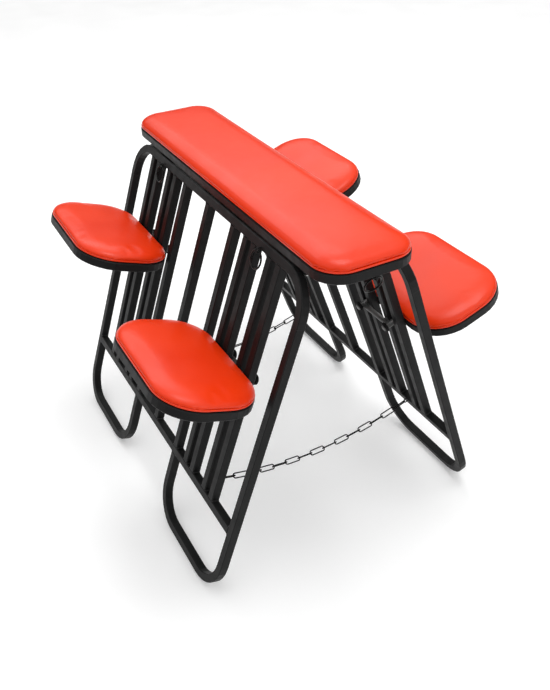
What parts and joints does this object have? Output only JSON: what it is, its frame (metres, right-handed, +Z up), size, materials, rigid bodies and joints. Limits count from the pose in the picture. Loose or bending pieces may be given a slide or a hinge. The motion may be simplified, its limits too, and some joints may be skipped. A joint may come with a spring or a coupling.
{
  "type": "folding padded bench",
  "caption": "Folding A-frame bench: a long padded top hinged to two leaning barred panels of square tube, padded platforms that slide along them, rings and stay chains",
  "frame": {"origin": "on the floor under the middle of the bench", "axes": "+X across the bench to the right panel, +Y along the bench to its rear end, +Z up"},
  "size_m": [0.8337, 0.967, 0.7913],
  "materials": {
    "black_steel": "satin black powder coat",
    "red_vinyl": "soft sheen vinyl cover",
    "ring_wire": "dark polished wire",
    "chain_wire": "dark plated wire",
    "bare_steel": "bright turned steel"
  },
  "bodies": {
    "root": {"top_frame": "black_steel", "top_cushion": "red_vinyl", "front_chain": "chain_wire", "rear_chain": "chain_wire", "left_front_hinge_bracket": "black_steel", "left_front_hinge_pin": "bare_steel", "left_rear_hinge_bracket": "black_steel", "left_rear_hinge_pin": "bare_steel", "right_front_hinge_bracket": "black_steel", "right_front_hinge_pin": "bare_steel", "right_rear_hinge_bracket": "black_steel", "right_rear_hinge_pin": "bare_steel"},
    "left_panel": {"left_top_rail": "black_steel", "left_front_leg": "black_steel", "left_rear_leg": "black_steel", "left_lower_rail": "black_steel", "left_bar_01": "black_steel", "left_bar_02": "black_steel", "left_bar_03": "black_steel", "left_bar_04": "black_steel", "left_bar_05": "black_steel", "left_bar_06": "black_steel", "left_bar_07": "black_steel", "left_bar_08": "black_steel", "left_bar_09": "black_steel", "left_bar_10": "black_steel", "left_bar_11": "black_steel"},
    "right_panel": {"right_top_rail": "black_steel", "right_front_leg": "black_steel", "right_rear_leg": "black_steel", "right_lower_rail": "black_steel", "right_bar_01": "black_steel", "right_bar_02": "black_steel", "right_bar_03": "black_steel", "right_bar_04": "black_steel", "right_bar_05": "black_steel", "right_bar_06": "black_steel", "right_bar_07": "black_steel", "right_bar_08": "black_steel", "right_bar_09": "black_steel", "right_bar_10": "black_steel", "right_bar_11": "black_steel"},
    "left_front_platform": {"left_front_platform_frame": "black_steel", "left_front_platform_carrier": "black_steel", "left_front_platform_cushion": "red_vinyl"},
    "left_rear_platform": {"left_rear_platform_frame": "black_steel", "left_rear_platform_carrier": "black_steel", "left_rear_platform_cushion": "red_vinyl"},
    "left_front_ring": {"left_front_ring": "ring_wire"},
    "left_rear_ring": {"left_rear_ring": "ring_wire"},
    "right_front_platform": {"right_front_platform_frame": "black_steel", "right_front_platform_carrier": "black_steel", "right_front_platform_cushion": "red_vinyl"},
    "right_rear_platform": {"right_rear_platform_frame": "black_steel", "right_rear_platform_carrier": "black_steel", "right_rear_platform_cushion": "red_vinyl"},
    "right_front_ring": {"right_front_ring": "ring_wire"},
    "right_rear_ring": {"right_rear_ring": "ring_wire"},
    "front_end_ring": {"front_end_ring": "ring_wire"},
    "rear_end_ring": {"rear_end_ring": "ring_wire"}
  },
  "joints": [
    {"name": "left_panel_hinge", "type": "hinge", "parent": "root", "child": "left_panel", "pos_m": [-0.08133, 0.008, 0.72183], "axis": [0, 1, 0], "range_deg": [-19.4, 0], "deforming": ["front_chain", "rear_chain"]},
    {"name": "right_panel_hinge", "type": "hinge", "parent": "root", "child": "right_panel", "pos_m": [0.08133, 0.008, 0.72183], "axis": [0, 1, 0], "range_deg": [0, 19.4]},
    {"name": "left_front_platform_slide", "type": "slide", "parent": "left_panel", "child": "left_front_platform", "axis": [0.3327, 0, 0.9431], "range_m": [-0.2695, 0.1675]},
    {"name": "left_rear_platform_slide", "type": "slide", "parent": "left_panel", "child": "left_rear_platform", "axis": [0.3327, 0, 0.9431], "range_m": [-0.3413, 0.0957]},
    {"name": "left_front_ring_swing", "type": "hinge", "parent": "left_panel", "child": "left_front_ring", "pos_m": [-0.11966, -0.2425, 0.72528], "axis": [0, 1, 0], "range_deg": [0, 120]},
    {"name": "left_rear_ring_swing", "type": "hinge", "parent": "left_panel", "child": "left_rear_ring", "pos_m": [-0.11966, 0.2665, 0.72528], "axis": [0, 1, 0], "range_deg": [0, 120]},
    {"name": "right_front_platform_slide", "type": "slide", "parent": "right_panel", "child": "right_front_platform", "axis": [-0.3327, 0, 0.9431], "range_m": [-0.2865, 0.1505]},
    {"name": "right_rear_platform_slide", "type": "slide", "parent": "right_panel", "child": "right_rear_platform", "axis": [-0.3327, 0, 0.9431], "range_m": [-0.373, 0.064]},
    {"name": "right_front_ring_swing", "type": "hinge", "parent": "right_panel", "child": "right_front_ring", "pos_m": [0.11966, -0.2425, 0.72528], "axis": [0, 1, 0], "range_deg": [-120, 0]},
    {"name": "right_rear_ring_swing", "type": "hinge", "parent": "right_panel", "child": "right_rear_ring", "pos_m": [0.11966, 0.2665, 0.72528], "axis": [0, 1, 0], "range_deg": [-120, 0]},
    {"name": "front_end_ring_swing", "type": "hinge", "parent": "root", "child": "front_end_ring", "pos_m": [0, -0.476, 0.74366], "axis": [1, 0, 0], "range_deg": [-100, 60]},
    {"name": "rear_end_ring_swing", "type": "hinge", "parent": "root", "child": "rear_end_ring", "pos_m": [0, 0.476, 0.74366], "axis": [1, 0, 0], "range_deg": [-60, 100]}
  ]
}
